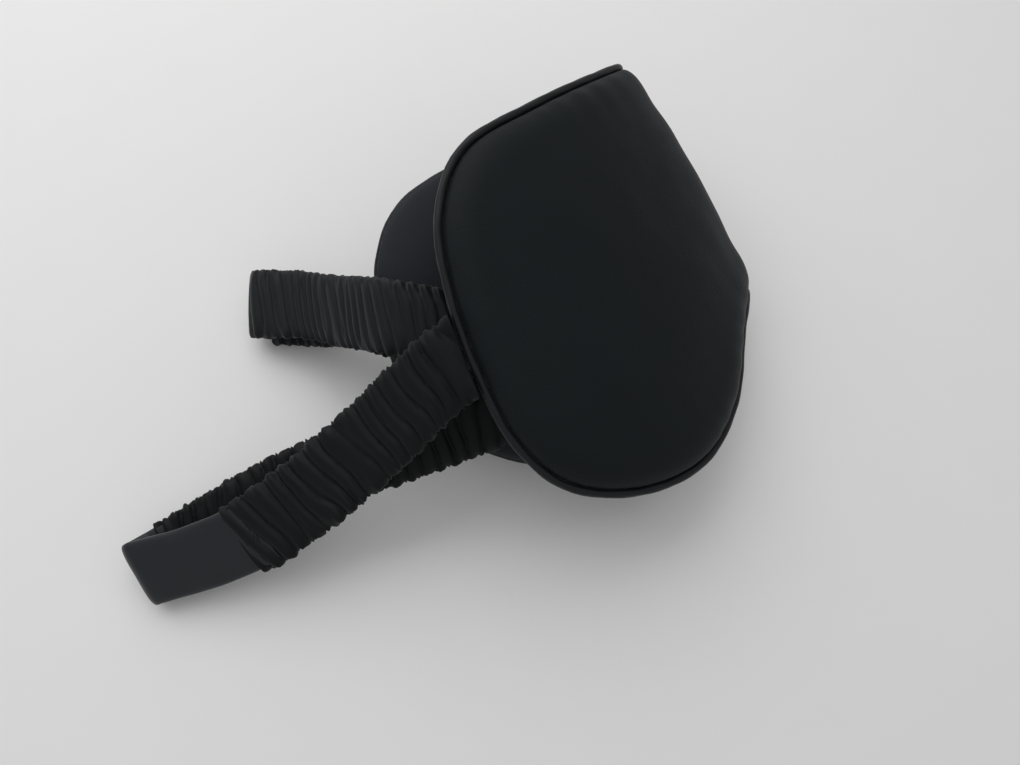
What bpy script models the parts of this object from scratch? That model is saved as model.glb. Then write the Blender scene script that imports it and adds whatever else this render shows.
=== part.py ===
"""Sleep eye mask, folded at the nose and laid down on its left half, with its gathered strap tucked in.

The mask frame has its origin at the top of the nose fold: +X points from the fold into the opening,
+Y to the wearer's right and +Z up the face. A place on a half is (across, down, out): millimetres from
the fold line towards the temple, down from the top edge, and out of the seam surface. The mask frame is
then turned and set on the table, where the strap's places are written.
"""

import math

import bmesh
import bpy
from mathutils import Euler, Matrix, Vector

MM = 0.001

# Mask as cut
HALF_WIDTH = 101.0
FOLD_GAP = 0.35                 # half of the gap between the two halves at the fold line
TOP_EDGE = (                    # across, down: from the fold to the temple
    (FOLD_GAP, 0.0), (8.5, 0.1), (17.0, 0.2), (26.0, 0.4), (52.0, 0.9), (75.0, 2.7), (89.0, 14.0),
    (96.3, 31.0),
)
LOBE = {                        # the lower temple lobe; the left one is drawn in, as it lies curled under
    "right": ((100.0, 49.0), (HALF_WIDTH, 66.5), (95.4, 82.0), (80.0, 93.2), (61.0, 97.0), (42.5, 91.0)),
    "left": ((98.6, 47.0), (94.0, 60.0), (87.0, 72.0), (75.0, 82.5), (59.0, 89.5), (42.2, 88.0)),
}
NOSE_ARCH = ((26.4, 79.1), (19.2, 74.8), (12.3, 71.3), (6.2, 69.6), (FOLD_GAP, 69.0))
CURVE_STEPS = 3                 # points for each stretch of the outline
FOLD_STEPS = 5                  # points down the fold line
HALF_CENTRE = (50.0, 48.0)

# Layers: out-of-surface places at the rim, and how much they crown in the middle
FRONT_CROWN = 4.0
BACK_CROWN = -1.2
RINGS = (0.15, 0.55, 0.83, 0.95)    # inner rings, as shares of a layer's own rim
LAYERS = (
    # name, share of the outline, front, front crown, back, back crown, colour, roughness
    ("front_cover", 0.975, 1.9, FRONT_CROWN, 1.4, FRONT_CROWN, (0.012, 0.013, 0.016), 0.42),
    ("padding", 0.95, 0.6, FRONT_CROWN, -1.4, BACK_CROWN, (0.62, 0.61, 0.58), 0.95),
    ("blackout_lining", 0.96, -2.0, BACK_CROWN, -2.25, BACK_CROWN, (0.02, 0.02, 0.02), 0.9),
    ("back_cover", 0.99, -2.7, BACK_CROWN, -3.3, BACK_CROWN, (0.014, 0.015, 0.018), 0.45),
)
PIPING_RADIUS = 1.0
PIPING_OUT = -0.2
PIPING_END = 1.2                # piping stops this far from the fold line

# How the mask lies: the fold, the bend of each half, and the turn from the mask frame to the table
FOLD_RADIUS = 10.6
HALF_OPENING = math.radians(6.0)
BEND = {"right": 0.70, "left": -0.65}   # turn of the surface over BEND_LENGTH; inwards is positive
BEND_LENGTH = 105.0
SIDE = {"right": 1.0, "left": -1.0}
LIE_TURN = Euler([math.radians(a) for a in (65.95, -23.78, -129.29)])
FOLD_TOP = Vector((18.7, 166.5, 32.3))

# Strap
CASING = (18.0, 3.0)            # gathered sleeve, width and thickness over all
CASING_BORE = (15.7, 1.8)
LABEL = (17.4, 2.7)
LABEL_BORE = (15.7, 1.7)
ELASTIC = (14.9, 0.9)
SEAM_DOWN = {"right": 44.0, "left": 27.0}   # middle of each strap end, down the temple
STITCH_BAR = (15.0, 1.6, 0.5)

# Strap stations on the table: centre and the way the width runs, from far edge to near edge
OUTER_RUN = (
    ((-13.6, 68.4, 49.3), (0.46, -0.80, -0.38)),
    ((-17.0, 65.2, 47.6), (0.50, -0.79, -0.36)),
    ((-22.5, 60.0, 43.0), (0.56, -0.77, -0.31)),
    ((-31.5, 52.3, 34.5), (0.62, -0.74, -0.26)),
    ((-45.0, 41.4, 24.0), (0.65, -0.71, -0.26)),
    ((-57.8, 32.3, 15.8), (0.68, -0.68, -0.27)),
)
LABEL_RUN = (
    ((-58.6, 31.8, 15.4), (0.68, -0.68, -0.27)),
    ((-73.0, 25.2, 10.0), (0.62, -0.72, -0.31)),
    ((-86.8, 20.6, 5.9), (0.56, -0.75, -0.35)),
)
LABEL_TURN_RADIUS = 2.3
RETURN_RUN = (
    ((-84.0, 24.5, 1.8), (0.56, -0.77, -0.31)),
    ((-73.0, 32.4, 4.4), (0.58, -0.77, -0.26)),
    ((-59.5, 41.0, 9.8), (0.58, -0.77, -0.27)),
    ((-42.0, 50.6, 14.4), (0.54, -0.78, -0.32)),
    ((-24.0, 58.0, 19.4), (0.50, -0.77, -0.40)),
    ((-8.2, 64.8, 23.5), (0.51, -0.73, -0.46)),
)
TUCK_IN_RUN = (
    ((-5.1, 66.3, 24.0), (0.51, -0.73, -0.45)),
    ((3.2, 71.6, 24.3), (0.48, -0.77, -0.41)),
    ((11.1, 76.4, 24.2), (0.43, -0.82, -0.38)),
    ((16.6, 80.0, 23.6), (0.38, -0.87, -0.32)),
)
TUCK_TURN_RADIUS = 3.8
TUCK_OUT_RUN = (
    ((10.5, 80.5, 34.3), (0.37, -0.87, -0.33)),
    ((0.0, 80.7, 37.0), (0.30, -0.87, -0.38)),
    ((-8.0, 81.2, 38.3), (0.25, -0.87, -0.42)),
)
SIDE_TOP_RUN = (
    ((-13.6, 81.6, 39.2), (0.24, -0.87, -0.43)),
    ((-22.0, 82.4, 39.6), (0.26, -0.88, -0.41)),
    ((-33.2, 84.4, 36.4), (0.24, -0.90, -0.37)),
    ((-45.6, 89.4, 25.5), (0.22, -0.93, -0.30)),
    ((-58.4, 94.9, 15.0), (0.24, -0.93, -0.28)),
    ((-72.6, 96.6, 8.9), (0.10, -0.93, -0.36)),
)
SIDE_TURN_RADIUS = 3.4
SIDE_LOW_RUN = (
    ((-70.0, 97.5, 2.2), (0.10, -0.94, -0.33)),
    ((-60.0, 97.0, 5.0), (0.14, -0.93, -0.33)),
    ((-50.0, 94.8, 12.0), (0.20, -0.91, -0.36)),
    ((-43.0, 92.0, 18.2), (0.27, -0.88, -0.38)),
    ((-37.6, 89.5, 22.6), (0.31, -0.87, -0.39)),
)
TURN_STEPS = 6
RUN_STEPS = 3                   # sections for each stretch between stations
END_INSET = 0.15                # how far the elastic stops short, as a share of the end stretch
WELD = 0.0001

CLOTH_BLACK = (0.011, 0.012, 0.014)


def start_empty():
    """Remove whatever the scene holds."""
    for obj in list(bpy.data.objects):
        bpy.data.objects.remove(obj, do_unlink=True)


def cloth_material(name, colour, roughness):
    """A plain cloth finish for one sub-part."""
    material = bpy.data.materials.new(name + "_cloth")
    material.use_nodes = True
    shader = material.node_tree.nodes["Principled BSDF"]
    shader.inputs["Base Color"].default_value = (*colour, 1.0)
    shader.inputs["Roughness"].default_value = roughness
    shader.inputs["Metallic"].default_value = 0.0
    return material


def finish(bm, name, colour, roughness, sharp_angle=50.0):
    """Close the mesh's bookkeeping and make it one named object in metres."""
    bmesh.ops.recalc_face_normals(bm, faces=bm.faces)
    bmesh.ops.scale(bm, vec=(MM, MM, MM), verts=bm.verts)
    mesh = bpy.data.meshes.new(name)
    bm.to_mesh(mesh)
    bm.free()
    mesh.shade_smooth()
    mesh.set_sharp_from_angle(angle=math.radians(sharp_angle))
    mesh.materials.append(cloth_material(name, colour, roughness))
    obj = bpy.data.objects.new(name, mesh)
    bpy.context.scene.collection.objects.link(obj)
    return obj


def smooth_through(points, steps):
    """Points of a Catmull-Rom curve through the given vectors, ends included."""
    ends = [2 * points[0] - points[1], *points, 2 * points[-1] - points[-2]]
    curve = []
    for p0, p1, p2, p3 in zip(ends, ends[1:], ends[2:], ends[3:]):
        for k in range(steps):
            t = k / steps
            curve.append(0.5 * (2 * p1 + (p2 - p0) * t + (2 * p0 - 5 * p1 + 4 * p2 - p3) * t**2
                                + (3 * p1 - p0 - 3 * p2 + p3) * t**3))
    return [*curve, points[-1].copy()]


def half_outline(side):
    """The rounded outline of a half, from the top of the fold to the nose arch."""
    return smooth_through([Vector(p) for p in (*TOP_EDGE, *LOBE[side], *NOSE_ARCH)], CURVE_STEPS)


def closed_outline(side):
    """The half's outline with points down the fold line, as one closed ring."""
    rim = half_outline(side)
    top, arch = rim[0], rim[-1]
    fold = [arch.lerp(top, k / FOLD_STEPS) for k in range(1, FOLD_STEPS)]
    return rim + fold


def on_half(across, down, out, side):
    """Table place of (across, down, out) on the folded and bent half."""
    sign = SIDE[side]
    turn = math.pi / 2 - HALF_OPENING
    arc = FOLD_RADIUS * turn
    angle = min(across, arc) / FOLD_RADIUS
    x = FOLD_RADIUS * (1 - math.cos(angle))
    y = FOLD_RADIUS * math.sin(angle)
    normal = Vector((-math.cos(angle), math.sin(angle)))
    if across > arc:
        bend = BEND[side] / BEND_LENGTH
        run = across - arc
        along = Vector((math.cos(HALF_OPENING), math.sin(HALF_OPENING)))
        outwards = Vector((-math.sin(HALF_OPENING), math.cos(HALF_OPENING)))
        step = along * math.sin(bend * run) / bend - outwards * (1 - math.cos(bend * run)) / bend
        x, y = x + step.x, y + step.y
        normal = outwards * math.cos(bend * run) + along * math.sin(bend * run)
    place = Vector((x + normal.x * out, sign * (y + normal.y * out), -down))
    return FOLD_TOP + LIE_TURN.to_matrix() @ place


def crown(share):
    """How far the padding has risen at a share of the way out to the rim: 1 inside, 0 at the rim."""
    return math.sqrt(max(0.0, 1.0 - share**4))


def extrude_ring(bm, edges, places):
    """Extrude a closed ring of edges, and set the new ring's vertices on the given places."""
    order = {v: k for k, v in enumerate(ring_vertices(edges))}
    made = bmesh.ops.extrude_edge_only(bm, edges=edges)["geom"]
    new_edges = [g for g in made if isinstance(g, bmesh.types.BMEdge)]
    new_verts = [g for g in made if isinstance(g, bmesh.types.BMVert)]
    for vert in new_verts:
        old = next(e.other_vert(vert) for e in vert.link_edges if e.other_vert(vert) in order)
        vert.co = places[order[old]]
    fresh = set(new_verts)
    ring = [e for e in new_edges if e.verts[0] in fresh and e.verts[1] in fresh]
    ordered = sorted(new_verts, key=lambda v: order[next(
        e.other_vert(v) for e in v.link_edges if e.other_vert(v) in order)])
    for k, vert in enumerate(ordered):
        vert.index = k
    return ring


def ring_vertices(edges):
    """The vertices of a ring of edges, in their index order."""
    return sorted({v for e in edges for v in e.verts}, key=lambda v: v.index)


def first_ring(bm, places):
    """A closed ring of edges through the given places."""
    made = bmesh.ops.create_circle(bm, cap_ends=False, segments=len(places), radius=1.0)["verts"]
    bm.verts.index_update()
    for vert, place in zip(made, places):
        vert.co = place
    return list({e for v in made for e in v.link_edges})


def ring_solid(name, rings, colour, roughness):
    """A closed solid swept through rings of places, capped at both ends."""
    bm = bmesh.new()
    ring = first_ring(bm, rings[0])
    bmesh.ops.contextual_create(bm, geom=ring)
    for places in rings[1:]:
        ring = extrude_ring(bm, ring, places)
    bmesh.ops.contextual_create(bm, geom=ring)
    bmesh.ops.triangulate(bm, faces=[f for f in bm.faces if len(f.verts) > 4])
    return finish(bm, name, colour, roughness)


def layer_solid(side, name, rim, front, front_crown, back, back_crown, colour, roughness):
    """One cloth or padding layer of a half: rings in from the front's middle to the rim, and back."""
    centre = Vector(HALF_CENTRE)
    outline = closed_outline(side)

    def ring(share, out):
        places = [centre + (p - centre) * share * rim for p in outline]
        return [on_half(p.x, p.y, out, side) for p in places]

    shares = (*RINGS, 1.0)
    rings = [ring(s, front + front_crown * crown(s)) for s in shares]
    rings += [ring(s, back + back_crown * crown(s)) for s in reversed(shares)]
    return ring_solid(f"{name}_{side}", rings, colour, roughness)


def piping_solid(side):
    """The corded bead sewn round the edge of a half."""
    rim = [p for p in half_outline(side) if p.x > PIPING_END]
    curve = bpy.data.curves.new("piping_" + side, "CURVE")
    curve.dimensions = "3D"
    spline = curve.splines.new("POLY")
    spline.points.add(len(rim) - 1)
    for point, place in zip(spline.points, rim):
        point.co = (*(on_half(place.x, place.y, PIPING_OUT, side) * MM), 1.0)
    curve.bevel_depth = PIPING_RADIUS * MM
    curve.bevel_resolution = 1
    curve.use_fill_caps = True
    curve.materials.append(cloth_material("piping_" + side, CLOTH_BLACK, 0.4))
    obj = bpy.data.objects.new("piping_" + side, curve)
    bpy.context.scene.collection.objects.link(obj)
    return obj


def stitch_bar(side):
    """The bar of stitches that holds a strap end, on the back cover beside the temple seam."""
    long, wide, thick = STITCH_BAR
    down = SEAM_DOWN[side]
    across, out = HALF_WIDTH - 13.0, -5.0
    rings = []
    for step in (-0.5, 0.0, 0.5):
        rings.append([on_half(across + a * wide, down + step * long, out + o * thick, side)
                      for a, o in ((-0.5, -0.5), (0.5, -0.5), (0.5, 0.5), (-0.5, 0.5))])
    return ring_solid("strap_stitching_" + side, rings, (0.02, 0.02, 0.022), 0.6)


def run_sections(stations, turn_radius=0.0, rest=()):
    """Centres and width directions along a run, with an optional U-turn onto the rest of the run."""
    def spread(part):
        centres = smooth_through([Vector(c) for c, _ in part], RUN_STEPS)
        widths = smooth_through([Vector(w) for _, w in part], RUN_STEPS)
        return [(c, w.normalized()) for c, w in zip(centres, widths)]

    sections = spread(stations)
    if turn_radius:
        last, before = sections[-1], sections[-2]
        ahead = (last[0] - before[0]).normalized()
        width = last[1]
        up = ahead.cross(width).normalized()
        middle = last[0] - up * turn_radius
        for k in range(1, TURN_STEPS + (0 if rest else 1)):
            angle = math.pi * k / TURN_STEPS
            sections.append((middle + up * turn_radius * math.cos(angle)
                             + ahead * turn_radius * math.sin(angle), width))
    if rest:
        sections += spread(rest)
    return sections


def frames(sections):
    """Each section's centre, width direction and thickness direction."""
    made = []
    for k, (centre, width) in enumerate(sections):
        before = sections[max(k - 1, 0)][0]
        after = sections[min(k + 1, len(sections) - 1)][0]
        ahead = (after - before).normalized()
        made.append((centre, width, ahead.cross(width).normalized()))
    return made


def rectangle(frame, size):
    """Four corners of a flat section of the given width and thickness."""
    centre, width, thick = frame
    half_width, half_thick = size[0] / 2, size[1] / 2
    return [centre + width * half_width * a + thick * half_thick * b
            for a, b in ((-1, -1), (1, -1), (1, 1), (-1, 1))]


def band_solid(name, stations):
    """The elastic: a flat solid band that stops just short of the stations' ends."""
    (first, *first_turn), (last, *last_turn) = stations[0], stations[-1]
    short = [
        (first.lerp(stations[1][0], END_INSET), *first_turn),
        *stations[1:-1],
        (last.lerp(stations[-2][0], END_INSET), *last_turn),
    ]
    return ring_solid(name, [rectangle(s, ELASTIC) for s in short], (0.03, 0.03, 0.032), 0.85)


def sleeve_solid(name, stations, size, bore, colour=CLOTH_BLACK, roughness=0.45):
    """A flat open-ended sleeve: down the outside, and back through the bore."""
    rings = [rectangle(s, size) for s in stations]
    rings += [rectangle(s, bore) for s in reversed(stations)]
    bm = bmesh.new()
    ring = first_ring(bm, rings[0])
    for places in [*rings[1:], rings[0]]:
        ring = extrude_ring(bm, ring, places)
    bmesh.ops.remove_doubles(bm, verts=bm.verts, dist=WELD)
    return finish(bm, name, colour, roughness)


def strap_run(name, sections):
    """A stretch of gathered casing with its elastic inside."""
    stations = frames(sections)
    return [
        sleeve_solid(name + "_casing", stations, CASING, CASING_BORE),
        band_solid(name + "_elastic", stations),
    ]


def label_end():
    """The smooth label sleeve round the strap's far U-turn, with its elastic and its stitch row."""
    stations = frames(run_sections(LABEL_RUN, LABEL_TURN_RADIUS))
    sleeve = sleeve_solid("label_sleeve", stations, LABEL, LABEL_BORE, (0.016, 0.018, 0.02), 0.35)
    centre, width, up = stations[1]
    ahead = width.cross(up)
    raised = centre + up * (LABEL[1] / 2 + 0.6) - ahead * 3.0
    rings = [[raised + width * w + ahead * a + up * u
              for a, u in ((-0.5, -0.2), (0.5, -0.2), (0.5, 0.2), (-0.5, 0.2))]
             for w in (-7.6, 0.0, 7.6)]
    stitches = ring_solid("label_stitching", rings, (0.02, 0.02, 0.022), 0.6)
    return [sleeve, band_solid("label_elastic", stations), stitches]


def seat_on_table(objects):
    """Move the assembly so that the middle of its lowest plane is the origin."""
    bpy.context.view_layer.update()
    graph = bpy.context.evaluated_depsgraph_get()
    corners = []
    for obj in objects:
        evaluated = obj.evaluated_get(graph)
        mesh = evaluated.to_mesh()
        corners += [evaluated.matrix_world @ v.co for v in mesh.vertices]
        evaluated.to_mesh_clear()
    low = Vector([min(c[k] for c in corners) for k in range(3)])
    high = Vector([max(c[k] for c in corners) for k in range(3)])
    move = Matrix.Translation(Vector((-(low.x + high.x) / 2, -(low.y + high.y) / 2, -low.z)))
    for obj in objects:
        obj.data.transform(move)
    return move


def main():
    """Build both padded halves, then the strap, and set the mask on the table."""
    start_empty()
    objects = []
    for side in SIDE:
        for layer in LAYERS:
            objects.append(layer_solid(side, *layer))
        objects.append(piping_solid(side))
        objects.append(stitch_bar(side))
    objects += strap_run("outer_run", run_sections(OUTER_RUN))
    objects += label_end()
    objects += strap_run("return_run", run_sections(RETURN_RUN))
    objects += strap_run("tucked_run", run_sections(TUCK_IN_RUN, TUCK_TURN_RADIUS, TUCK_OUT_RUN))
    objects += strap_run("side_run", run_sections(SIDE_TOP_RUN, SIDE_TURN_RADIUS, SIDE_LOW_RUN))
    return seat_on_table(objects)


main()
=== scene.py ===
"""Looks of the sleep eye mask: padded satin halves folded at the nose, piping, and a gathered strap."""

import logging
import math
from collections.abc import Callable, Sequence
from dataclasses import dataclass, field
from enum import Enum

import bmesh
import bpy
from mathutils import Euler, Matrix, Vector, noise

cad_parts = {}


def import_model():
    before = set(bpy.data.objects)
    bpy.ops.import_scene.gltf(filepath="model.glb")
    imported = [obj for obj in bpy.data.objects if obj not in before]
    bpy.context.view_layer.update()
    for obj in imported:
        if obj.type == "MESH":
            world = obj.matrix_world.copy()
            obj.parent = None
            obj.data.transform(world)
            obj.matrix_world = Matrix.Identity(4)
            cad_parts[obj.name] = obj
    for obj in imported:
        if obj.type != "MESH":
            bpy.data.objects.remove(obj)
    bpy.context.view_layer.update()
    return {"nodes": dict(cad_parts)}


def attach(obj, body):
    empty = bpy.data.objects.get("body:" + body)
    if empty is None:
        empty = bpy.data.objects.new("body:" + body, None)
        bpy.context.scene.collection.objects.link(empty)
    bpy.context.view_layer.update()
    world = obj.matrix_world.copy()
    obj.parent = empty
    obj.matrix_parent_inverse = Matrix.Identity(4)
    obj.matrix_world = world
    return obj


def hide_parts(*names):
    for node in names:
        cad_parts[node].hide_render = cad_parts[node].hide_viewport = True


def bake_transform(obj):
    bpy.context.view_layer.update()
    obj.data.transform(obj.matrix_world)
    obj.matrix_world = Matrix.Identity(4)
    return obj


log = logging.getLogger("eye_mask")

MM = 0.001
TABLE_SHIFT = Vector((14.938, -90.020, 2.442))  # mm, from the layout's frame to the row frame
GRAIN_STEP = 0.1 * MM
GLOSS_RANGE = (-0.05, 0.06)     # how far a cloth's roughness strays from its middle value
MERGE_MM = 0.002
BAND_INSET = 2.0                # mm that the elastic stops inside each end of its casing
BAND_HALF_WIDTH = 6.6
BAND_HALF_THICK = 0.35


def linear(hex_colour: str) -> tuple[float, float, float, float]:
    """Turn an sRGB hex colour into linear RGBA.

    Args:
        hex_colour: Six hex digits after a hash.

    Returns:
        The linear colour with full alpha.
    """
    parts = [int(hex_colour[k:k + 2], 16) / 255 for k in (1, 3, 5)]
    red, green, blue = (c / 12.92 if c <= 0.04045 else ((c + 0.055) / 1.055) ** 2.4 for c in parts)
    return red, green, blue, 1.0


def add_node(tree: bpy.types.NodeTree, kind: str, settings: dict | None = None,
             links: dict | None = None) -> bpy.types.Node:
    """Add one node, set its values and link its inputs.

    Args:
        tree: The node tree.
        kind: The node's type name.
        settings: Attribute or input names and their values.
        links: Input names and the output sockets that feed them.

    Returns:
        The new node.
    """
    node = tree.nodes.new(kind)
    for name, value in (settings or {}).items():
        if hasattr(node, name):
            setattr(node, name, value)
        else:
            node.inputs[name].default_value = value
    for name, socket in (links or {}).items():
        tree.links.new(socket, node.inputs[name])
    return node


class Lay(Enum):
    """Which map a cloth's pattern follows."""

    OBJECT = "Object"
    UV = "UV"


@dataclass(frozen=True)
class Cloth:
    """A woven cloth finish: a dark dye, a soft gloss, and fine threads."""

    name: str
    colour: str
    shade: str
    roughness: float
    sheen: float
    sheen_roughness: float = 0.35
    specular: float = 0.5
    thread_mm: float = 0.35
    thread_depth: float = 0.05
    mottle_mm: float = 9.0
    mottle_depth: float = 0.0
    lay: Lay = Lay.OBJECT

    def make(self) -> bpy.types.Material:
        """Build the node material.

        Returns:
            The material.
        """
        material = bpy.data.materials.new(self.name)
        material.use_nodes = True
        tree = material.node_tree
        shader = tree.nodes["Principled BSDF"]
        place = add_node(tree, "ShaderNodeTexCoord").outputs[self.lay.value]
        # UVs are laid out in metres too, so one scale serves both maps
        weft = add_node(tree, "ShaderNodeTexNoise", {"Scale": 1 / (self.thread_mm * MM), "Detail": 2.0,
                                                     "Roughness": 0.6}, {"Vector": place})
        mottle = add_node(tree, "ShaderNodeTexNoise", {"Scale": 1 / (self.mottle_mm * MM), "Detail": 3.0},
                          {"Vector": place})
        tint = add_node(tree, "ShaderNodeMix", {"data_type": "RGBA"}, {"Factor": mottle.outputs["Fac"]})
        tint.inputs["A"].default_value = linear(self.shade)
        tint.inputs["B"].default_value = linear(self.colour)
        gloss = add_node(tree, "ShaderNodeMapRange", {"To Min": self.roughness + GLOSS_RANGE[0],
                                                      "To Max": self.roughness + GLOSS_RANGE[1]},
                         {"Value": mottle.outputs["Fac"]})
        grain = add_node(tree, "ShaderNodeBump", {"Strength": self.thread_depth, "Distance": GRAIN_STEP},
                         {"Height": weft.outputs["Fac"]})
        soft = add_node(tree, "ShaderNodeBump", {"Strength": 1.0, "Distance": self.mottle_depth * MM},
                        {"Height": mottle.outputs["Fac"], "Normal": grain.outputs["Normal"]})
        tree.links.new(tint.outputs["Result"], shader.inputs["Base Color"])
        tree.links.new(gloss.outputs["Result"], shader.inputs["Roughness"])
        tree.links.new(soft.outputs["Normal"], shader.inputs["Normal"])
        shader.inputs["Sheen Weight"].default_value = self.sheen
        shader.inputs["Sheen Roughness"].default_value = self.sheen_roughness
        shader.inputs["Specular IOR Level"].default_value = self.specular
        return material


# Silk satin, dyed black: long floats give a broad soft gloss that lifts the black towards grey
FACE_SATIN = Cloth("black_silk_satin_face", "#12181c", "#0e1417", 0.62, 0.06, specular=0.18,
                   thread_mm=0.45, thread_depth=1.0, mottle_depth=0.10)
# The same satin on the face side, its black painted a little lighter: painted light where that side catches
# more light
PAINTED_LIGHT_SATIN = Cloth("black_silk_satin_face_side", "#23272d", "#1e2127", 0.60, 0.20, specular=0.25,
                   thread_depth=0.35, mottle_depth=0.10)
# The same satin cut on the bias round a cord, so its gloss is drawn tighter
BIAS_SATIN = Cloth("black_silk_satin_bias", "#131619", "#0f1114", 0.50, 0.10, specular=0.30)
# The same satin gathered over elastic, its folds in their own shade
GATHERED_SATIN = Cloth("black_silk_satin_gathered", "#0e1216", "#0b0e12", 0.52, 0.06, specular=0.28,
                       mottle_mm=6.0)
# A darker copy of the gathered satin: painted shade on the outer and return runs
SHADED_GATHERED_SATIN = Cloth("black_silk_satin_gathered_painted_shade", "#090c0f", "#06080b", 0.55, 0.03, specular=0.22,
                     mottle_mm=6.0)
# Close polyester label satin: flatter and paler, with straight fine ribs
LABEL_SATIN = Cloth("grey_black_label_satin", "#1f2429", "#1a1e23", 0.45, 0.15, specular=0.35, thread_mm=0.25,
                    lay=Lay.UV)
# Spun polyester thread: dull and twisted
THREAD = Cloth("black_spun_thread", "#15171b", "#0c0d10", 0.6, 0.2, thread_mm=0.2, thread_depth=0.3)
# Flat woven elastic: rubber cores under a dull polyester cover
ELASTIC = Cloth("black_woven_elastic", "#121316", "#0b0c0e", 0.8, 0.1, thread_mm=0.8, thread_depth=0.4,
                lay=Lay.UV)


@dataclass(frozen=True)
class Paper:
    """A plain pale studio sweep, matt and very slightly uneven."""

    name: str = "pale_studio_paper"
    colour: str = "#f3f2f2"

    def make(self) -> bpy.types.Material:
        """Build the node material.

        Returns:
            The material.
        """
        material = bpy.data.materials.new(self.name)
        material.use_nodes = True
        tree = material.node_tree
        shader = tree.nodes["Principled BSDF"]
        place = add_node(tree, "ShaderNodeTexCoord").outputs["Object"]
        fibre = add_node(tree, "ShaderNodeTexNoise", {"Scale": 60.0}, {"Vector": place})
        tint = add_node(tree, "ShaderNodeMix", {"data_type": "RGBA"}, {"Factor": fibre.outputs["Fac"]})
        tint.inputs["A"].default_value = linear(self.colour)
        tint.inputs["B"].default_value = linear("#f5f4f4")
        tree.links.new(tint.outputs["Result"], shader.inputs["Base Color"])
        shader.inputs["Roughness"].default_value = 0.85
        return material


def smooth_through(points: Sequence[Vector], steps: int) -> list[Vector]:
    """Draw a Catmull-Rom curve through points.

    Args:
        points: The points it passes through.
        steps: Points for each stretch between two of them.

    Returns:
        The curve's points, ends included.
    """
    ends = [2 * points[0] - points[1], *points, 2 * points[-1] - points[-2]]
    curve = []
    for p0, p1, p2, p3 in zip(ends, ends[1:], ends[2:], ends[3:]):
        for k in range(steps):
            t = k / steps
            curve.append(0.5 * (2 * p1 + (p2 - p0) * t + (2 * p0 - 5 * p1 + 4 * p2 - p3) * t**2
                                + (3 * p1 - p0 - 3 * p2 + p3) * t**3))
    return [*curve, points[-1].copy()]


def ease(low: float, high: float, value: float) -> float:
    """Step smoothly from 0 to 1.

    Args:
        low: Where the step starts.
        high: Where it ends.
        value: The place on the step.

    Returns:
        The share of the step.
    """
    t = min(max((value - low) / (high - low), 0.0), 1.0)
    return t * t * (3 - 2 * t)


def cloth_piece(name: str, across: int, down: int, place: Callable[[float, float], Vector],
                cloth: Cloth, size: tuple[float, float]) -> bpy.types.Object:
    """Shape a grid of cloth, and close it where its edges meet.

    Args:
        name: The piece's name.
        across: Stretches along the first side.
        down: Stretches along the second side.
        place: Gives the place in millimetres of a share of each side.
        cloth: The finish.
        size: Width and height of the pattern map in millimetres.

    Returns:
        The piece, in metres.
    """
    bm = bmesh.new()
    bmesh.ops.create_grid(bm, x_segments=across, y_segments=down, size=0.5)
    layer = bm.loops.layers.uv.new("UVMap")
    for face in bm.faces:
        for loop in face.loops:
            loop[layer].uv = ((loop.vert.co.x + 0.5) * size[0] * MM, (loop.vert.co.y + 0.5) * size[1] * MM)
    for vert in bm.verts:
        vert.co = place(vert.co.x + 0.5, vert.co.y + 0.5) * MM
    bmesh.ops.remove_doubles(bm, verts=bm.verts, dist=MERGE_MM * MM)
    bmesh.ops.dissolve_degenerate(bm, edges=bm.edges, dist=MERGE_MM / 2 * MM)
    holes = [e for e in bm.edges if e.is_boundary]
    if holes:
        bmesh.ops.holes_fill(bm, edges=holes, sides=0)
    bmesh.ops.recalc_face_normals(bm, faces=bm.faces)
    mesh = bpy.data.meshes.new(name)
    bm.to_mesh(mesh)
    bm.free()
    mesh.shade_smooth()
    mesh.materials.append(cloth.make())
    obj = bpy.data.objects.new(name, mesh)
    bpy.context.scene.collection.objects.link(obj)
    return obj


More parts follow.
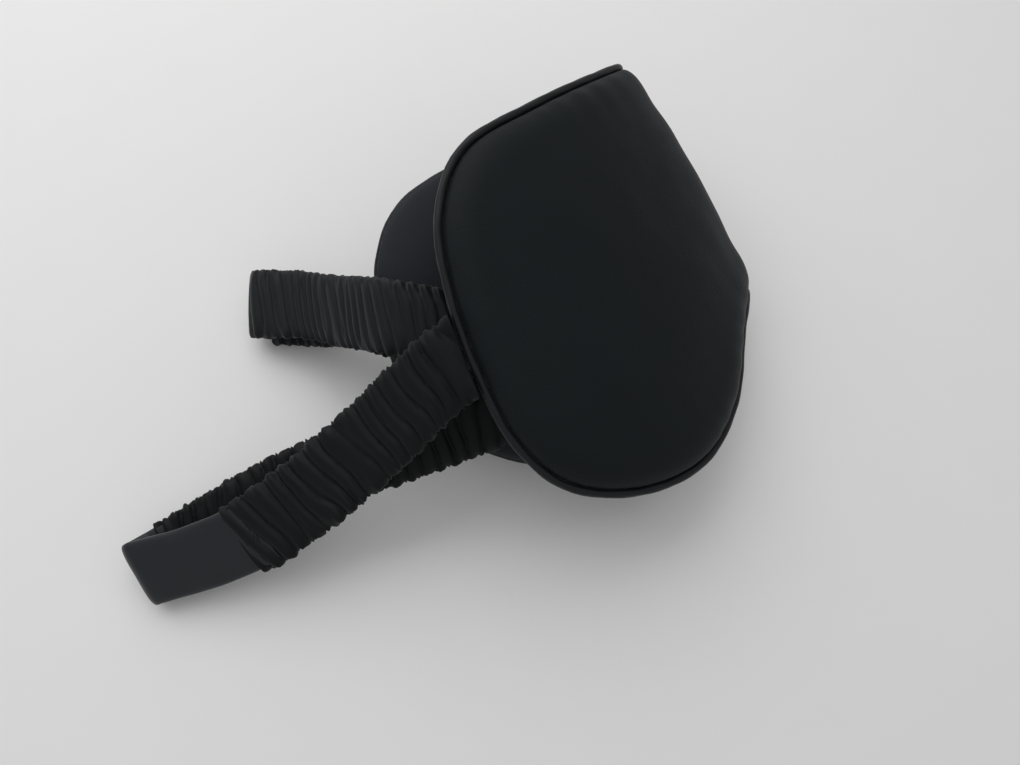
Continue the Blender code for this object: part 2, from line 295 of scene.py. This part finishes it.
@dataclass
class Halves:
    """The surface that both halves of the mask lie in, folded at the nose and bent."""

    fold_radius: float = 10.6
    half_opening: float = math.radians(6.0)
    bend_right: float = 0.70
    bend_left: float = -0.65
    bend_length: float = 105.0
    turn: Matrix = field(default_factory=lambda: Euler(
        [math.radians(a) for a in (65.95, -23.78, -129.29)]).to_matrix())
    fold_top: Vector = field(default_factory=lambda: Vector((18.7, 166.5, 32.3)) + TABLE_SHIFT)
    top_edge: tuple[tuple[float, float], ...] = (
        (0.0, 0.0), (8.5, 0.1), (17.0, 0.2), (26.0, 0.4), (52.0, 0.9), (75.0, 2.7), (89.0, 14.0),
        (96.3, 31.0),
    )
    lobe_right: tuple[tuple[float, float], ...] = (
        (100.0, 49.0), (101.0, 66.5), (95.4, 82.0), (80.0, 93.2), (61.0, 97.0), (42.5, 91.0),
    )
    lobe_left: tuple[tuple[float, float], ...] = (
        (98.6, 47.0), (94.0, 60.0), (87.0, 72.0), (75.0, 82.5), (59.0, 89.5), (42.2, 88.0),
    )
    nose_arch: tuple[tuple[float, float], ...] = (
        (26.4, 79.1), (19.2, 74.8), (12.3, 71.3), (6.2, 69.6), (0.0, 69.0),
    )

    def __post_init__(self) -> None:
        """Smooth each half's outline, and measure along it."""
        self.rims = {}
        for side, lobe in ((1, self.lobe_right), (-1, self.lobe_left)):
            rim = smooth_through([Vector(p) for p in (*self.top_edge, *lobe, *self.nose_arch)], 6)
            run = [0.0]
            for a, b in zip(rim, rim[1:]):
                run.append(run[-1] + (b - a).length)
            self.rims[side] = (rim, run)

    def at(self, across: float, down: float, out: float) -> Vector:
        """Place of a spot on the mask; a negative across is on the left half.

        Args:
            across: Millimetres from the fold line.
            down: Millimetres down from the top edge.
            out: Millimetres out of the seam surface, towards the front.

        Returns:
            The place in millimetres in the row frame.
        """
        sign, bend_all = (1.0, self.bend_right) if across >= 0 else (-1.0, self.bend_left)
        away = abs(across)
        turn = math.pi / 2 - self.half_opening
        arc = self.fold_radius * turn
        angle = min(away, arc) / self.fold_radius
        x = self.fold_radius * (1 - math.cos(angle))
        y = self.fold_radius * math.sin(angle)
        normal = Vector((-math.cos(angle), math.sin(angle)))
        if away > arc:
            bend = bend_all / self.bend_length
            run = away - arc
            along = Vector((math.cos(self.half_opening), math.sin(self.half_opening)))
            outwards = Vector((-math.sin(self.half_opening), math.cos(self.half_opening)))
            step = along * math.sin(bend * run) / bend - outwards * (1 - math.cos(bend * run)) / bend
            x, y = x + step.x, y + step.y
            normal = outwards * math.cos(bend * run) + along * math.sin(bend * run)
        return self.fold_top + self.turn @ Vector((x + normal.x * out, sign * (y + normal.y * out), -down))

    def edge_distance(self, across: float, down: float) -> tuple[float, float]:
        """Measure from a spot to the outline of its half.

        Args:
            across: Millimetres from the fold line, negative on the left half.
            down: Millimetres down from the top edge.

        Returns:
            How far the spot is inside the outline, and where along it its nearest place is.
        """
        spot = Vector((abs(across), down))
        rim, run = self.rims[1 if across >= 0 else -1]
        best, where = 1e9, 0.0
        for k, (a, b) in enumerate(zip(rim, rim[1:])):
            stretch = b - a
            t = min(max((spot - a).dot(stretch) / stretch.length_squared, 0.0), 1.0)
            gap = (spot - a - stretch * t).length
            if gap < best:
                best, where = gap, run[k] + t * stretch.length
        return best, where

    def edge_along(self, centre: Vector, way: Vector, side: int) -> Vector:
        """Find where a ray from inside a half leaves it.

        Args:
            centre: The ray's start, with both halves laid on the right.
            way: The ray's direction.
            side: 1 for the right half, -1 for the left.

        Returns:
            The farthest place where the ray crosses the outline.
        """
        best = None
        rim = self.rims[side][0]
        for a, b in zip(rim, rim[1:]):
            side_a, side_b = way.cross(a - centre), way.cross(b - centre)
            if side_a * side_b > 0 or side_a == side_b:
                continue
            spot = a + (b - a) * side_a / (side_a - side_b)
            reach = (spot - centre).dot(way)
            if reach > 0 and (best is None or reach > (best - centre).dot(way)):
                best = spot
        return best if best is not None else centre

    def spokes(self, straight: int = 44, fan: int = 46) -> list[tuple[Vector, Vector]]:
        """Pairs of inner and rim spots all the way round both halves, for a closed skin.

        Args:
            straight: Spokes along the middle line from fold to fan centre.
            fan: Spokes round each temple.

        Returns:
            Inner and rim spots, from the top of the fold round the right half and back by the left.
        """
        reach, level = 56.0, 44.0
        ways = []
        for k in range(straight):
            ways.append((Vector((reach * k / straight, level)), Vector((0, -1))))
        for k in range(fan + 1):
            angle = math.pi * (k / fan - 0.5)
            ways.append((Vector((reach, level)), Vector((math.cos(angle), math.sin(angle)))))
        for k in range(straight - 1, -1, -1):
            ways.append((Vector((reach * k / straight, level)), Vector((0, 1))))

        def pairs(side: int) -> list[tuple[Vector, Vector]]:
            """Pair each inner spot with its rim spot.

            Args:
                side: 1 for the right half, -1 for the left.

            Returns:
                The pairs, with both halves laid on the right.
            """
            made = [(centre, self.edge_along(centre, way, side)) for centre, way in ways]
            made[0] = (made[0][0], Vector((0, 0)))
            made[-1] = (made[-1][0], Vector((0, 69.0)))
            return made

        left = [(Vector((-c.x, c.y)), Vector((-e.x, e.y))) for c, e in reversed(pairs(-1)[1:-1])]
        return pairs(1) + left


@dataclass
class MaskBody:
    """The padded front, the face-side back panel, the corded piping and its stitches."""

    halves: Halves
    front_rise: float = 5.6
    shoulder: float = 8.5
    back_rise: float = 1.5
    piping_radius: float = 1.05
    piping_out: float = -0.25
    stitch_length: float = 1.9
    stitch_pitch: float = 2.9
    stitch_half_width: float = 0.22
    stitch_half_height: float = 0.2
    fold_middle: float = 35.0
    fold_reach: float = 6.5

    def crumple(self, across: float, down: float, inside: float, along: float) -> float:
        """Wrinkle the cover: puckers by the seam, and soft rolls inside.

        Args:
            across: Millimetres from the fold line, negative on the left half.
            down: Millimetres down from the top edge.
            inside: Millimetres inside the outline.
            along: Millimetres along the outline.

        Returns:
            Millimetres that the cover is lifted.
        """
        seed = 0.0 if across >= 0 else 31.0
        phase = along * 2 * math.pi / 7.2 + 2.6 * noise.noise(Vector((along / 19, seed, 1.7)))
        strength = 0.5 + 0.5 * noise.noise(Vector((along / 26, seed, 9.1)))
        pucker = 0.30 * strength * math.sin(phase) * math.exp(-max(inside - 1.5, 0) / 4.5)
        roll = 0.55 * noise.noise(Vector((abs(across) / 24, down / 30, seed + 4.0)))
        fine = 0.16 * noise.noise(Vector((abs(across) / 8, down / 11, seed + 8.0)))
        fold = 2.4 * noise.noise(Vector((down / 12, 3.3, 7.0))) * math.exp(-(across / 12) ** 2)
        return pucker + (roll + fine + fold) * ease(2.0, 16.0, inside)

    def front_height(self, across: float, down: float) -> float:
        """Height of the front cover: a rounded shoulder by the seam, then a nearly flat panel.

        Args:
            across: Millimetres from the fold line, negative on the left half.
            down: Millimetres down from the top edge.

        Returns:
            Millimetres over the seam surface.
        """
        inside, along = self.halves.edge_distance(across, down)
        share = min(max(inside - 1.0, 0) / self.shoulder, 1.0)
        shoulder = (1 - (1 - share) ** 2.4) ** 0.6
        swell = 0.78 + 0.22 * ease(4.0, 30.0, inside)
        flat = 1.0 - 0.62 * math.exp(-(across / 15.0) ** 2)
        wrinkle = self.crumple(across, down, inside, along)
        return 0.35 + (self.front_rise - 0.2) * shoulder * swell * flat + wrinkle

    def back_height(self, across: float, down: float) -> float:
        """Height of the back panel's face side.

        Args:
            across: Millimetres from the fold line, negative on the left half.
            down: Millimetres down from the top edge.

        Returns:
            Millimetres over the seam surface, so negative.
        """
        inside, along = self.halves.edge_distance(across, down)
        share = min(max(inside, 0) / 14.0, 1.0)
        crown = (1 - (1 - share) ** 2) ** 0.5
        wave = self.crumple(across + 200.0 * (1 if across >= 0 else -1), down, inside, along + 400.0)
        return -3.0 - self.back_rise * crown - 0.6 * wave

    def skin(self, name: str, front: Callable[[float, float], float], back: Callable[[float, float], float],
             rim: Sequence[tuple[float, float]], cloth: Cloth) -> bpy.types.Object:
        """A closed skin over both halves.

        Args:
            name: The piece's name.
            front: Height of its front at a spot.
            back: Height of its back at a spot.
            rim: Inset from the outline and height of each turn of its edge, front to back.
            cloth: The finish.

        Returns:
            The piece.
        """
        spokes = self.halves.spokes()
        rows = 34
        shares = [1 - (1 - k / rows) ** 1.7 for k in range(rows)]
        profile = [("front", s) for s in shares] + [("rim", k) for k in range(len(rim))]
        profile += [("back", s) for s in reversed(shares)]

        def place(a: float, b: float) -> Vector:
            """Place a spot of the skin.

            Args:
                a: Share round the outline.
                b: Share from the front's middle, over the rim, to the back's.

            Returns:
                The place in millimetres.
            """
            centre, edge = spokes[round(a * len(spokes)) % len(spokes)]
            kind, value = profile[round(b * (len(profile) - 1))]
            reach = (edge - centre).length
            inset, out = rim[value] if kind == "rim" else (rim[0][0] if kind == "front" else rim[-1][0], 0.0)
            inner = edge - (edge - centre) * min(inset / reach, 1.0)
            spot = inner if kind == "rim" else centre.lerp(inner, value)
            if kind == "front":
                out = front(spot.x, spot.y)
            elif kind == "back":
                out = back(spot.x, spot.y)
            return self.halves.at(spot.x if edge.x >= 0 else min(spot.x, -1e-9), spot.y, out)

        return cloth_piece(name, len(spokes), len(profile) - 1, place, cloth, (540.0, 110.0))

    def build_front(self) -> bpy.types.Object:
        """Make the padded front, a crowned closed form over the wadding.

        Returns:
            The piece.
        """
        rim = [(1.35, 0.75), (1.15, 0.3), (1.2, -0.4), (1.7, -0.9)]
        piece = self.skin("padded_front", self.front_height, lambda x, y: -1.1, rim, FACE_SATIN)
        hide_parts("front_cover_right", "front_cover_left", "padding_right", "padding_left")
        return self.across_fold(piece)

    def build_back(self) -> bpy.types.Object:
        """Make the face-side panel, with its own turned edge behind the piping.

        Returns:
            The piece.
        """
        rim = [(0.5, -2.0), (0.05, -2.1), (-0.25, -2.45), (-0.2, -2.85), (0.25, -3.05)]
        # the face-side panel wears the satin painted lighter, as painted light
        piece = self.skin("back_panel", lambda x, y: -1.35, self.back_height, rim, PAINTED_LIGHT_SATIN)
        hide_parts("back_cover_right", "back_cover_left", "blackout_lining_right",
                    "blackout_lining_left")
        return self.across_fold(piece)

    def rim_line(self, pitch: float, inset: float = 0.0) -> list[tuple[Vector, Vector]]:
        """Space spots evenly round the whole outline.

        Args:
            pitch: Millimetres between spots.
            inset: Millimetres that they stand inside the outline.

        Returns:
            Each spot, and the way outwards at it.
        """
        half = self.halves
        right, left = half.rims[1][0], half.rims[-1][0]
        whole = [p.copy() for p in right] + [Vector((-p.x, p.y)) for p in reversed(left[1:-1])]
        whole.append(whole[0].copy())
        lengths = [0.0]
        for a, b in zip(whole, whole[1:]):
            lengths.append(lengths[-1] + (b - a).length)
        count = round(lengths[-1] / pitch)
        spots, k = [], 0
        for step in range(count):
            want = lengths[-1] * step / count
            while lengths[k + 1] < want:
                k += 1
            a, b = whole[k], whole[k + 1]
            way = (b - a).normalized()
            outwards = Vector((way.y, -way.x))
            spots.append((a + way * (want - lengths[k]) - outwards * inset, outwards))
        return spots

    def build_piping(self) -> bpy.types.Object:
        """Make the corded bead round the whole edge.

        Returns:
            The piece.
        """
        spots = self.rim_line(1.4)
        sides = 14

        def place(a: float, b: float) -> Vector:
            """Place a spot of the bead.

            Args:
                a: Share round the outline.
                b: Share round the bead.

            Returns:
                The place in millimetres.
            """
            k = round(a * len(spots)) % len(spots)
            spot, outwards = spots[k]
            angle = 2 * math.pi * b
            twist = 0.05 * math.sin(3 * angle + k * 0.9) + 0.04 * noise.noise(Vector((k / 4, 0.0, 3.0)))
            radius = self.piping_radius + twist
            moved = spot + outwards * radius * math.cos(angle)
            return self.halves.at(moved.x, moved.y, self.piping_out + radius * math.sin(angle))

        piece = cloth_piece("rim_piping", len(spots), sides, place, BIAS_SATIN, (540.0, 6.6))
        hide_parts("piping_right", "piping_left")
        return self.across_fold(piece)

    def build_stitches(self) -> bpy.types.Object:
        """Make the row of stitches in the groove between the piping and the back panel.

        Returns:
            The piece.
        """
        bm = bmesh.new()
        for spot, outwards in self.rim_line(self.stitch_pitch, inset=-0.25):
            way = Vector((-outwards.y, outwards.x))
            middle = self.halves.at(spot.x, spot.y, -1.65)
            ahead = self.halves.at(*(spot + way * 0.5), -1.65) - middle
            up = self.halves.at(spot.x, spot.y, -0.65) - middle
            side = ahead.cross(up)
            made = bmesh.ops.create_uvsphere(bm, u_segments=6, v_segments=4, radius=1.0)["verts"]
            turn = Matrix((side.normalized(), up.normalized(), ahead.normalized())).transposed()
            for vert in made:
                local = Vector((vert.co.x * self.stitch_half_width, vert.co.y * self.stitch_half_height,
                                vert.co.z * self.stitch_length / 2))
                vert.co = (middle + turn @ local) * MM
        mesh = bpy.data.meshes.new("rim_stitches")
        bm.to_mesh(mesh)
        bm.free()
        mesh.shade_smooth()
        mesh.materials.append(THREAD.make())
        piece = bpy.data.objects.new("rim_stitches", mesh)
        bpy.context.scene.collection.objects.link(piece)
        return self.across_fold(piece)

    def across_fold(self, piece: bpy.types.Object) -> bpy.types.Object:
        """Bake the transform of a piece that crosses the nose fold, where the two halves turn, into its mesh.

        Args:
            piece: A piece that crosses the fold.

        Returns:
            The same piece.
        """
        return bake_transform(piece)

    def build(self) -> None:
        """Make every piece of the mask's body."""
        for piece in (self.build_front(), self.build_back(), self.build_piping(), self.build_stitches()):
            log.info("%s: %d faces", piece.name, len(piece.data.polygons))


Station = tuple[tuple[float, float, float], tuple[float, float, float]]


@dataclass
class Run:
    """A stretch of the strap: stations on the table, and turns between them."""

    legs: Sequence[Sequence[Station]]
    turns: Sequence[float] = ()

    def __post_init__(self) -> None:
        """Smooth the run, and measure along it."""
        centres, widths = [], []
        for k, leg in enumerate(self.legs):
            centres += smooth_through([Vector(c) + TABLE_SHIFT for c, _ in leg], 6)
            widths += [w.normalized() for w in smooth_through([Vector(w) for _, w in leg], 6)]
            if k < len(self.turns) and self.turns[k]:
                ahead = (centres[-1] - centres[-2]).normalized()
                up = ahead.cross(widths[-1]).normalized() * self.turns[k]
                middle = centres[-1] - up
                ahead = widths[-1].cross(up).normalized() * abs(self.turns[k])
                last = widths[-1]
                for step in range(1, 11):
                    angle = math.pi * step / 11
                    centres.append(middle + up * math.cos(angle) + ahead * math.sin(angle))
                    widths.append(last)
        self.centres, self.widths = centres, widths
        self.lengths = [0.0]
        for a, b in zip(centres, centres[1:]):
            self.lengths.append(self.lengths[-1] + (b - a).length)

    @property
    def length(self) -> float:
        """The run's length in millimetres."""
        return self.lengths[-1]

    def at(self, along: float) -> tuple[Vector, Vector, Vector]:
        """Find the strap's section at a distance along the run.

        Args:
            along: Millimetres from the run's start.

        Returns:
            The section's centre, its width direction and its thickness direction.
        """
        along = min(max(along, 0.0), self.length)
        k = max(i for i, s in enumerate(self.lengths[:-1]) if s <= along)
        t = (along - self.lengths[k]) / max(self.lengths[k + 1] - self.lengths[k], 1e-9)
        centre = self.centres[k].lerp(self.centres[k + 1], t)
        width = self.widths[k].lerp(self.widths[k + 1], t).normalized()
        before = self.centres[max(k - 1, 0)]
        after = self.centres[min(k + 2, len(self.centres) - 1)]
        ahead_a = self.centres[k + 1] - before
        ahead_b = after - self.centres[k]
        ahead = ahead_a.normalized().lerp(ahead_b.normalized(), t)
        return centre, width, ahead.cross(width).normalized()


@dataclass
class Gathers:
    """A stretch of casing drawn up over the elastic into cross folds."""

    run: Run
    pitch: float
    depth: float
    width: float = 18.4
    thickness: float = 2.7
    frill: float = 0.9
    slant: float = 0.12
    seed: float = 0.0
    step: float = 0.42
    sides: int = 72
    crispness: float = 3.2
    # by default the gathers wear the darker copy of the satin, painted shade
    cloth: Cloth = SHADED_GATHERED_SATIN

    def folds(self, along: float, across: float) -> float:
        """Shape the gathers: broad ridges between deep narrow creases.

        Args:
            along: Millimetres along the strap.
            across: Millimetres from its middle line.

        Returns:
            Height, from -1 in a crease to 1 on a ridge.
        """
        warp = 0.20 * noise.noise(Vector((along / 11, across / 9, self.seed)))
        drift = 0.75 * noise.noise(Vector((along / 12, across / 60, self.seed + 5)))
        turn = (along + self.slant * across) / self.pitch + warp + drift
        cell, share = math.floor(turn), turn - math.floor(turn)
        crease = abs(2 * share - 1) ** self.crispness
        tall = 0.8 + 0.5 * noise.noise(Vector((cell * 0.77, across / 12, self.seed + 3)))
        second = 0.7 * math.exp(-((share - 0.62 - 0.2 * math.sin(cell * 2.3)) / 0.07) ** 2)
        faint = second * ease(-0.2, 0.5, noise.noise(Vector((cell * 1.3, across / 7, self.seed + 8))))
        fine = 0.12 * noise.noise(Vector((along / 2.1, across / 6, self.seed + 11)))
        return (1 - 2 * crease) * tall - faint + fine

    def place(self, a: float, b: float) -> Vector:
        """Place a spot of the casing.

        Args:
            a: Share along the run.
            b: Share round its flat section.

        Returns:
            The place in millimetres.
        """
        along = a * self.run.length
        centre, width, up = self.run.at(along)
        angle = 2 * math.pi * b
        cos, sin = math.cos(angle), math.sin(angle)
        x = math.copysign(abs(cos) ** 0.55, cos)
        z = math.copysign(abs(sin) ** 0.75, sin)
        side = 1.0 if z >= 0 else -1.0
        across = x * self.width / 2
        lift = self.folds(along, across + 40 * (side < 0))
        edge = self.folds(along, math.copysign(self.width / 2, x))
        rim = abs(x) ** 5
        ragged = edge + 0.5 * noise.noise(Vector((along / 1.3, x, self.seed + 20)))
        spread = across + math.copysign(self.frill * rim * ragged, x)
        high = z * self.thickness / 2 + side * self.depth * lift * min(abs(z) * 1.4, 1.0)
        flutter = 0.55 * rim * math.sin(2 * math.pi * along / (self.pitch * 0.9) + self.seed)
        return centre + width * spread + up * (high + flutter)

    def build(self, name: str) -> bpy.types.Object:
        """Make the casing.

        Args:
            name: The piece's name.

        Returns:
            The piece.
        """
        along = max(int(self.run.length / self.step), 8)
        piece = cloth_piece(name, along, self.sides, self.place, self.cloth,
                            (self.run.length * 1.7, 2 * self.width))
        # the flat size is the sewn sleeve's, pressed double before it was drawn up
        return piece


def elastic_band(name: str, run: Run) -> bpy.types.Object:
    """Make the flat elastic inside a run of casing.

    Args:
        name: The piece's name.
        run: The run that it lies in.

    Returns:
        The piece.
    """

    def place(a: float, b: float) -> Vector:
        """Place a spot of the band.

        Args:
            a: Share along the run.
            b: Share round the flat section.

        Returns:
            The place in millimetres.
        """
        centre, width, up = run.at(BAND_INSET + a * (run.length - 2 * BAND_INSET))
        angle = 2 * math.pi * b
        cos, sin = math.cos(angle), math.sin(angle)
        return (centre + width * math.copysign(abs(cos) ** 0.2, cos) * BAND_HALF_WIDTH
                + up * math.copysign(abs(sin) ** 0.4, sin) * BAND_HALF_THICK)

    return cloth_piece(name, max(int(run.length / 2), 6), 16, place, ELASTIC, (run.length, 30.0))


@dataclass
class Strap:
    """The gathered strap: out from the right temple, round the label, back into the fold, and to the left."""

    outer: Run = field(default_factory=lambda: Run(((
        ((-11.0, 70.6, 49.9), (0.46, -0.80, -0.38)),
        ((-17.0, 65.2, 47.6), (0.50, -0.79, -0.36)),
        ((-22.5, 60.0, 43.0), (0.56, -0.77, -0.31)),
        ((-31.5, 52.3, 34.5), (0.62, -0.74, -0.26)),
        ((-45.0, 41.4, 24.0), (0.65, -0.71, -0.26)),
        ((-58.6, 31.8, 15.4), (0.68, -0.68, -0.27)),
        ((-62.0, 30.0, 14.0), (0.68, -0.68, -0.27)),
    ),)))
    label: Run = field(default_factory=lambda: Run(((
        ((-57.0, 32.8, 16.2), (0.68, -0.68, -0.27)),
        ((-63.0, 29.6, 13.6), (0.66, -0.69, -0.28)),
        ((-73.0, 25.2, 10.0), (0.62, -0.72, -0.31)),
        ((-86.8, 20.6, 5.9), (0.56, -0.75, -0.35)),
    ), (
        ((-84.5, 24.2, 1.7), (0.56, -0.77, -0.31)),
        ((-80.0, 27.4, 2.9), (0.57, -0.77, -0.28)),
    )), (2.1,)))
    back: Run = field(default_factory=lambda: Run(((
        ((-82.5, 25.5, 2.2), (0.56, -0.77, -0.31)),
        ((-73.0, 32.4, 4.4), (0.58, -0.77, -0.26)),
        ((-59.5, 41.0, 9.8), (0.58, -0.77, -0.27)),
        ((-42.0, 50.6, 14.4), (0.54, -0.78, -0.32)),
        ((-24.0, 58.0, 19.4), (0.50, -0.77, -0.40)),
        ((-8.2, 64.8, 23.5), (0.51, -0.73, -0.46)),
        ((-4.6, 66.6, 24.0), (0.51, -0.73, -0.45)),
        ((-1.2, 68.8, 24.2), (0.50, -0.75, -0.43)),
    ),)))
    side: Run = field(default_factory=lambda: Run(((
        ((-1.8, 68.4, 24.2), (0.50, -0.75, -0.43)),
        ((3.2, 71.6, 24.3), (0.48, -0.77, -0.41)),
        ((11.1, 76.4, 24.2), (0.43, -0.82, -0.38)),
        ((16.6, 80.0, 23.6), (0.38, -0.87, -0.32)),
    ), (
        ((10.5, 80.5, 34.3), (0.37, -0.87, -0.33)),
        ((0.0, 80.7, 37.0), (0.30, -0.87, -0.38)),
        ((-13.6, 81.6, 39.2), (0.24, -0.87, -0.43)),
        ((-22.0, 82.4, 39.6), (0.26, -0.88, -0.41)),
        ((-33.2, 84.4, 36.4), (0.24, -0.90, -0.37)),
        ((-45.6, 89.4, 25.5), (0.22, -0.93, -0.30)),
        ((-58.4, 94.9, 15.0), (0.24, -0.93, -0.28)),
        ((-72.6, 96.6, 8.9), (0.10, -0.93, -0.36)),
    ), (
        ((-70.0, 97.5, 2.2), (0.10, -0.94, -0.33)),
        ((-60.0, 97.0, 5.0), (0.14, -0.93, -0.33)),
        ((-50.0, 94.8, 12.0), (0.20, -0.91, -0.36)),
        ((-43.0, 92.0, 18.2), (0.27, -0.88, -0.38)),
        ((-34.3, 88.0, 24.4), (0.31, -0.87, -0.39)),
    )), (3.8, 3.4)))
    label_width: float = 17.6
    label_thickness: float = 2.9
    hem_at: float = 2.2
    hem_stitches: int = 11
    hem_pitch: float = 1.5

    def label_place(self, a: float, b: float) -> Vector:
        """Place a spot of the label sleeve, a flat tube with soft dents where the cloth is pulled.

        Args:
            a: Share along the run.
            b: Share round the flat section.

        Returns:
            The place in millimetres.
        """
        along = a * self.label.length
        centre, width, up = self.label.at(along)
        angle = 2 * math.pi * b
        cos, sin = math.cos(angle), math.sin(angle)
        x = math.copysign(abs(cos) ** 0.4, cos)
        z = math.copysign(abs(sin) ** 0.7, sin)
        hem = math.exp(-((along - self.hem_at) / 0.5) ** 2)
        dent = 0.22 * noise.noise(Vector((along / 7, x * 1.3, 2.0))) - 0.18 * hem
        return (centre + width * x * (self.label_width / 2 + 0.15 * noise.noise(Vector((along / 6, x, 5.0))))
                + up * z * (self.label_thickness / 2 + dent))

    def build_label(self) -> bpy.types.Object:
        """Make the smooth label sleeve.

        Returns:
            The piece.
        """
        piece = cloth_piece("label_sleeve_cover", 150, 56, self.label_place, LABEL_SATIN,
                            (self.label.length, 2 * self.label_width))
        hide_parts("label_sleeve")
        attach(piece, "label_end")
        return piece

    def build_label_stitches(self) -> bpy.types.Object:
        """Make the row of stitches across the label's hem.

        Returns:
            The piece.
        """
        bm = bmesh.new()
        centre, width, up = self.label.at(self.hem_at)
        ahead = width.cross(up)
        turn = Matrix((ahead, up, width)).transposed()
        for k in range(-(self.hem_stitches // 2), self.hem_stitches // 2 + 1):
            made = bmesh.ops.create_uvsphere(bm, u_segments=6, v_segments=4, radius=1.0)["verts"]
            for vert in made:
                local = Vector((vert.co.x * 0.2, vert.co.y * 0.2 + self.label_thickness / 2 - 0.1,
                                vert.co.z * 0.55 + k * self.hem_pitch))
                vert.co = (centre + turn @ local) * MM
        mesh = bpy.data.meshes.new("label_hem_stitches")
        bm.to_mesh(mesh)
        bm.free()
        mesh.shade_smooth()
        mesh.materials.append(THREAD.make())
        piece = bpy.data.objects.new("label_hem_stitches", mesh)
        bpy.context.scene.collection.objects.link(piece)
        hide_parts("label_stitching")
        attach(piece, "label_end")
        return piece

    def stretch(self, piece: bpy.types.Object, run: Run, backwards: bool = False) -> bpy.types.Object:
        """Bake a run's transform into its mesh.

        Args:
            piece: The run's piece.
            run: The run; not used.
            backwards: Whether the run starts at the label; not used.

        Returns:
            The same piece.
        """
        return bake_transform(piece)

    def flex(self, piece: bpy.types.Object) -> bpy.types.Object:
        """Bake the side run's transform into its mesh.

        Args:
            piece: The run's piece.

        Returns:
            The same piece.
        """
        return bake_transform(piece)

    def build(self) -> None:
        """Make every piece of the strap."""
        # the outer and return runs take the default darker satin, painted shade
        outer = Gathers(self.outer, pitch=5.0, depth=0.7, frill=1.1, slant=0.22,
                        seed=2.0).build("outer_run_gathers")
        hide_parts("outer_run_casing")
        self.stretch(outer, self.outer)
        outer_band = elastic_band("outer_run_band", self.outer)
        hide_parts("outer_run_elastic")
        self.stretch(outer_band, self.outer)
        back = Gathers(self.back, pitch=4.4, depth=0.65, slant=0.2, seed=7.0).build("return_run_gathers")
        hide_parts("return_run_casing")
        self.stretch(back, self.back, backwards=True)
        back_band = elastic_band("return_run_band", self.back)
        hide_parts("return_run_elastic")
        self.stretch(back_band, self.back, backwards=True)
        side = Gathers(self.side, pitch=3.4, depth=0.5, frill=0.6, slant=0.08, seed=13.0,
                       step=0.5, crispness=2.4, cloth=GATHERED_SATIN).build("side_run_gathers")
        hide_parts("side_run_casing", "tucked_run_casing")
        self.flex(side)
        side_band = elastic_band("side_run_band", self.side)
        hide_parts("side_run_elastic", "tucked_run_elastic")
        self.flex(side_band)
        label_band = elastic_band("label_end_band", self.label)
        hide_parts("label_elastic")
        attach(label_band, "label_end")
        label = self.build_label()
        stitches = self.build_label_stitches()
        for piece in (outer, back, side, label, stitches, outer_band, back_band, side_band, label_band):
            log.info("%s: %d faces", piece.name, len(piece.data.polygons))


@dataclass
class Studio:
    """A pale floor, soft light from the upper left, and the camera."""

    camera_place: Vector = field(default_factory=lambda: Vector((0, 0, 223.74)) + TABLE_SHIFT)
    pitch: float = math.radians(20.63)
    roll: float = math.radians(5.98)
    lens: float = 29.47

    def build_floor(self) -> bpy.types.Object:
        """Make the table top.

        Returns:
            The floor.
        """
        bm = bmesh.new()
        bmesh.ops.create_grid(bm, x_segments=1, y_segments=1, size=1.5)
        mesh = bpy.data.meshes.new("table_top")
        bm.to_mesh(mesh)
        bm.free()
        mesh.materials.append(Paper().make())
        floor = bpy.data.objects.new("table_top", mesh)
        bpy.context.scene.collection.objects.link(floor)
        return floor

    def build_camera(self) -> bpy.types.Object:
        """Set the camera, looking down at the mask.

        Returns:
            The camera.
        """
        data = bpy.data.cameras.new("camera")
        data.lens = self.lens
        data.sensor_width = 36.0
        data.clip_start = 0.01
        camera = bpy.data.objects.new("camera", data)
        turn = Matrix.Rotation(self.pitch, 4, "X") @ Matrix.Rotation(self.roll, 4, "Z")
        camera.matrix_world = Matrix.Translation(self.camera_place * MM) @ turn
        bpy.context.scene.collection.objects.link(camera)
        bpy.context.scene.camera = camera
        return camera

    def add_light(self, name: str, place: Vector, aim: Vector, size: float, power: float) -> bpy.types.Object:
        """A square soft light.

        Args:
            name: Its name.
            place: Where it stands, in metres.
            aim: What it points at, in metres.
            size: Its side, in metres.
            power: Its power, in watts.

        Returns:
            The light.
        """
        data = bpy.data.lights.new(name, "AREA")
        data.shape = "SQUARE"
        data.size = size
        data.energy = power
        light = bpy.data.objects.new(name, data)
        light.location = place
        light.rotation_euler = (place - aim).to_track_quat("Z", "Y").to_euler()
        bpy.context.scene.collection.objects.link(light)
        return light

    def build(self) -> None:
        """Set up floor, camera and lights."""
        self.build_floor()
        self.build_camera()
        aim = Vector((-0.02, 0.02, 0.0))
        self.add_light("window", Vector((-0.24, 0.30, 0.44)), aim, 0.7, 1.95)
        self.add_light("ceiling", Vector((0.0, 0.05, 1.3)), aim, 1.0, 1.3)
        world = bpy.data.worlds.new("room")
        world.use_nodes = True
        world.node_tree.nodes["Background"].inputs["Color"].default_value = linear("#f6f6f6")
        world.node_tree.nodes["Background"].inputs["Strength"].default_value = 0.44
        bpy.context.scene.world = world
        bpy.context.scene.view_settings.view_transform = "Standard"
        log.info("studio ready")


def dress_carried_nodes(frame: dict) -> None:
    """Give the CAD nodes that stay in view their own finish.
    """
    for name in ("strap_stitching_right", "strap_stitching_left"):
        mesh = frame["nodes"][name].data
        mesh.materials.clear()
        mesh.materials.append(THREAD.make())
        log.info("%s dressed", name)


def main() -> None:
    """Build every piece in order."""
    logging.basicConfig(level=logging.INFO, format="%(name)s: %(message)s")
    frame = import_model()
    halves = Halves()
    MaskBody(halves).build()
    Strap().build()
    dress_carried_nodes(frame)
    Studio().build()


if __name__ == "__main__":
    main()
